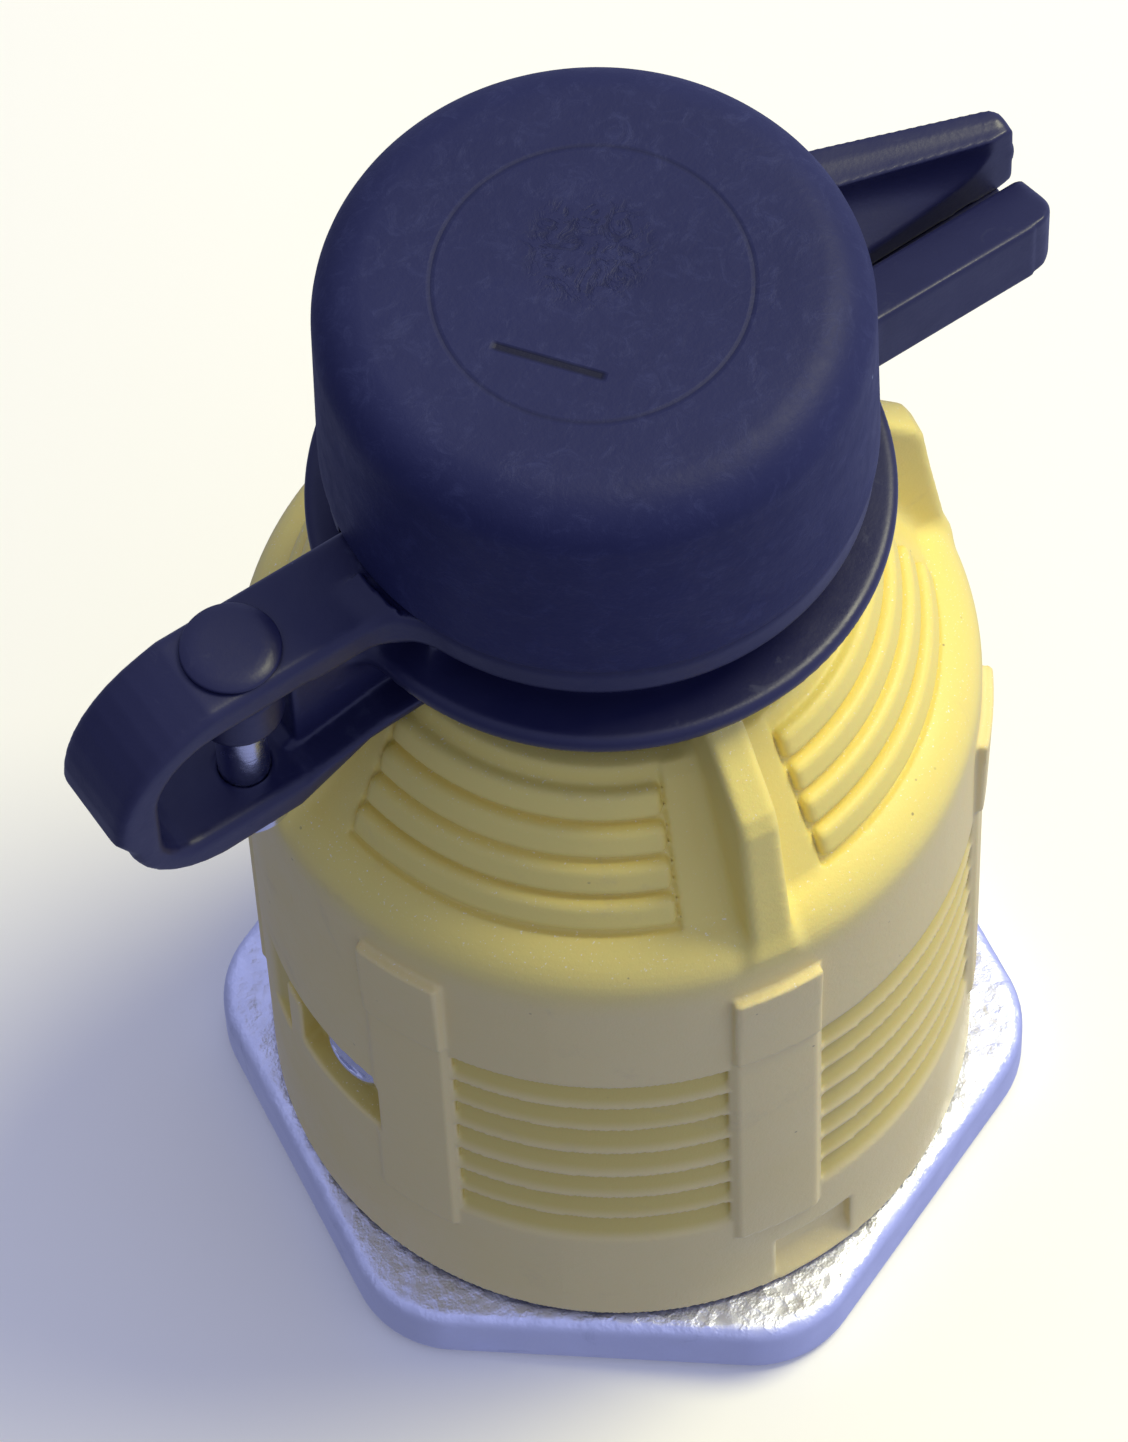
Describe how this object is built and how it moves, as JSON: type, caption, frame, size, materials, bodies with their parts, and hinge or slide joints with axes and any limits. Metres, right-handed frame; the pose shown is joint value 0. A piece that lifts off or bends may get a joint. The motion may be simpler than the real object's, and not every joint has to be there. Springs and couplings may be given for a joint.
{
  "type": "locking cord connector",
  "caption": "Yellow cord connector with a hexagonal metal face flange, locking blade slots, hinged black cord clamp with two ears and a pull-off rubber cap over the cord entry",
  "frame": {"origin": "centre of the mating face, where the flange rests", "axes": "+Z is the cord axis from the mating face to the cap; X runs along the clamp's ears with the hinge towards -X; -Y is the side of the clamp's fixed half"},
  "size_m": [0.0952, 0.0732, 0.132],
  "materials": {
    "yellow_nylon": "satin",
    "zinc_steel": "zinc plated, fine sparkle",
    "black_rubber": "matte",
    "black_plastic": "satin",
    "dark_nylon": "matte",
    "white_nylon": "matte",
    "contact_brass": "bright",
    "contact_plated": "nickel plated",
    "screw_steel": "plated",
    "pin_steel": "black oxide"
  },
  "bodies": {
    "connector": {"housing": "yellow_nylon", "face_flange": "zinc_steel", "face_gasket": "black_rubber", "face_rim": "dark_nylon", "face_core": "dark_nylon", "contact_carrier": "dark_nylon", "line_contact_1": "contact_brass", "line_contact_2": "contact_brass", "neutral_contact": "contact_plated", "ground_contact": "contact_brass", "terminal_lugs": "contact_brass", "wire_divider": "white_nylon", "bonding_strap": "contact_brass", "retaining_inserts": "contact_brass", "cord_seal": "black_rubber", "seal_washer": "white_nylon", "clamp_base": "black_plastic", "clamp_snap_ring": "screw_steel", "hinge_pin": "pin_steel", "hinge_clip": "screw_steel", "clamp_nut": "screw_steel"},
    "jaw": {"clamp_jaw": "black_plastic", "clamp_washer": "screw_steel"},
    "closing_screw": {"clamp_screw": "pin_steel"},
    "cap": {"closing_cap": "black_rubber"},
    "terminal_screw_1_body": {"terminal_screw_1": "screw_steel"},
    "terminal_screw_2_body": {"terminal_screw_2": "screw_steel"},
    "terminal_screw_3_body": {"terminal_screw_3": "screw_steel"},
    "terminal_screw_4_body": {"terminal_screw_4": "screw_steel"},
    "retaining_screw_1_body": {"retaining_screw_1": "screw_steel"},
    "retaining_screw_2_body": {"retaining_screw_2": "screw_steel"}
  },
  "joints": [
    {"name": "cap_pull", "type": "slide", "parent": "connector", "child": "cap", "axis": [0, 0, 1], "range_m": [0, 0.045]},
    {"name": "jaw_hinge", "type": "hinge", "parent": "connector", "child": "jaw", "pos_m": [-0.0358, 0, 0.1], "axis": [0, 0, 1], "range_deg": [-2, 0]},
    {"name": "clamp_screw_turn", "type": "hinge", "parent": "jaw", "child": "closing_screw", "pos_m": [0.026, 0.009, 0.1042], "axis": [0, 1, 0], "range_deg": [-978, 0]},
    {"name": "terminal_screw_1_turn", "type": "hinge", "parent": "connector", "child": "terminal_screw_1_body", "pos_m": [0.01797, 0.01354, 0.0363], "axis": [0.7986, 0.6018, 0], "range_deg": [-720, 720]},
    {"name": "terminal_screw_2_turn", "type": "hinge", "parent": "connector", "child": "terminal_screw_2_body", "pos_m": [-0.01354, 0.01797, 0.0363], "axis": [-0.6018, 0.7986, 0], "range_deg": [-720, 720]},
    {"name": "terminal_screw_3_turn", "type": "hinge", "parent": "connector", "child": "terminal_screw_3_body", "pos_m": [-0.01797, -0.01354, 0.0363], "axis": [-0.7986, -0.6018, 0], "range_deg": [-720, 720]},
    {"name": "terminal_screw_4_turn", "type": "hinge", "parent": "connector", "child": "terminal_screw_4_body", "pos_m": [0.01354, -0.01797, 0.0363], "axis": [0.6018, -0.7986, 0], "range_deg": [-720, 720]},
    {"name": "retaining_screw_1_turn", "type": "hinge", "parent": "connector", "child": "retaining_screw_1_body", "pos_m": [-0.02986, -0.00287, 0.035], "axis": [-0.9954, -0.0958, 0], "range_deg": [-1440, 1440]},
    {"name": "retaining_screw_2_turn", "type": "hinge", "parent": "connector", "child": "retaining_screw_2_body", "pos_m": [0.02986, 0.00287, 0.035], "axis": [0.9954, 0.0958, 0], "range_deg": [-1440, 1440]}
  ],
  "couplings": [
    {"joint": "jaw_hinge", "follows": "clamp_screw_turn", "ratio": 0.002045}
  ]
}
